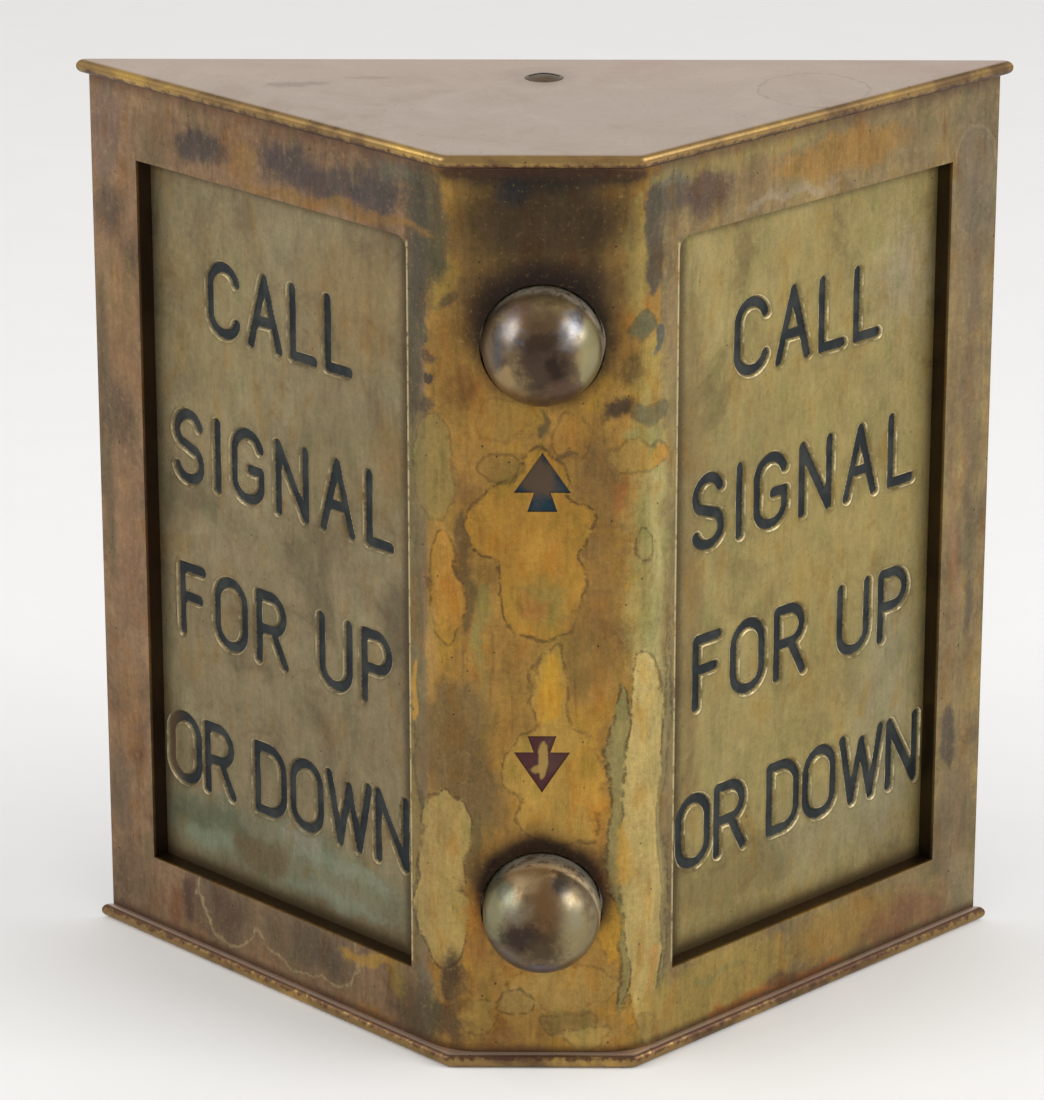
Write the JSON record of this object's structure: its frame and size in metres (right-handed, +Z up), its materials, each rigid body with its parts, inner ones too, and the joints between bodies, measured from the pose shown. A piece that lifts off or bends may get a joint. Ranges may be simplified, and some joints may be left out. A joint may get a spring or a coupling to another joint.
{
  "type": "lift call station",
  "caption": "Wedge-shaped brass wall box with upper and lower push buttons, arrows between them, and recessed engraved sign plates on its side faces.",
  "frame": {"origin": "centre of the cable entry on the wall plane, at mid-height", "axes": "+Y goes into the wall, so the front faces -Y; +Z up; +X to the right when seen from the front"},
  "size_m": [0.205, 0.0949, 0.2049],
  "materials": {
    "case_brass": "cast and polished, heavy mottled patina, satin",
    "plate_brass": "rolled, dull warm patina, satin",
    "sign_brass": "fine grained, olive grey patina",
    "button_brass": "turned and handled, dark mottled, semi-gloss",
    "wax_fill": "dull dark filler",
    "fibre": "vulcanised fibre, dull red brown",
    "spring_steel": "drawn wire",
    "contact_brass": "flat strip, lightly tarnished",
    "screw_brass": "worn and darkened",
    "back_steel": "rolled sheet, dull grey",
    "turned_steel": "turned",
    "fixing_brass": "turned, lightly tarnished"
  },
  "bodies": {
    "case": {"back_plate": "back_steel", "board_screws": "fixing_brass", "board_standoffs": "fixing_brass", "bottom_cover_screw": "screw_brass", "bottom_plate": "plate_brass", "bottom_plate_screws": "fixing_brass", "cable_bushing": "fibre", "case_shell": "case_brass", "common_link": "contact_brass", "contact_board": "fibre", "cover_tabs": "back_steel", "down_arrow_fill": "wax_fill", "earth_screw": "fixing_brass", "guide_strip": "fixing_brass", "guide_strip_screws": "fixing_brass", "left_sign_plate": "sign_brass", "left_sign_screws": "fixing_brass", "lower_fixed_contacts": "contact_brass", "lower_guide_bush": "fixing_brass", "lower_return_spring": "spring_steel", "right_sign_plate": "sign_brass", "right_sign_screws": "fixing_brass", "standoff_screws": "fixing_brass", "terminal_screws": "fixing_brass", "top_cover_screw": "screw_brass", "top_plate": "plate_brass", "top_plate_screws": "fixing_brass", "up_arrow_fill": "wax_fill", "upper_fixed_contacts": "contact_brass", "upper_guide_bush": "fixing_brass", "upper_return_spring": "spring_steel"},
    "upper_button": {"upper_button_cap": "button_brass", "upper_button_stem": "turned_steel", "upper_stem_collar": "turned_steel", "upper_insulating_bush": "fibre", "upper_contact_bridge": "contact_brass", "upper_stem_nut": "turned_steel"},
    "lower_button": {"lower_button_cap": "button_brass", "lower_button_stem": "turned_steel", "lower_stem_collar": "turned_steel", "lower_insulating_bush": "fibre", "lower_contact_bridge": "contact_brass", "lower_stem_nut": "turned_steel"}
  },
  "joints": [
    {"name": "upper_button_press", "type": "slide", "parent": "case", "child": "upper_button", "axis": [0, 1, 0], "range_m": [0, 0.004], "stiffness_N_per_m": 450, "springref_m": -0.0045, "deforming": ["upper_return_spring"]},
    {"name": "lower_button_press", "type": "slide", "parent": "case", "child": "lower_button", "axis": [0, 1, 0], "range_m": [0, 0.004], "stiffness_N_per_m": 450, "springref_m": -0.0045, "deforming": ["lower_return_spring"]}
  ]
}
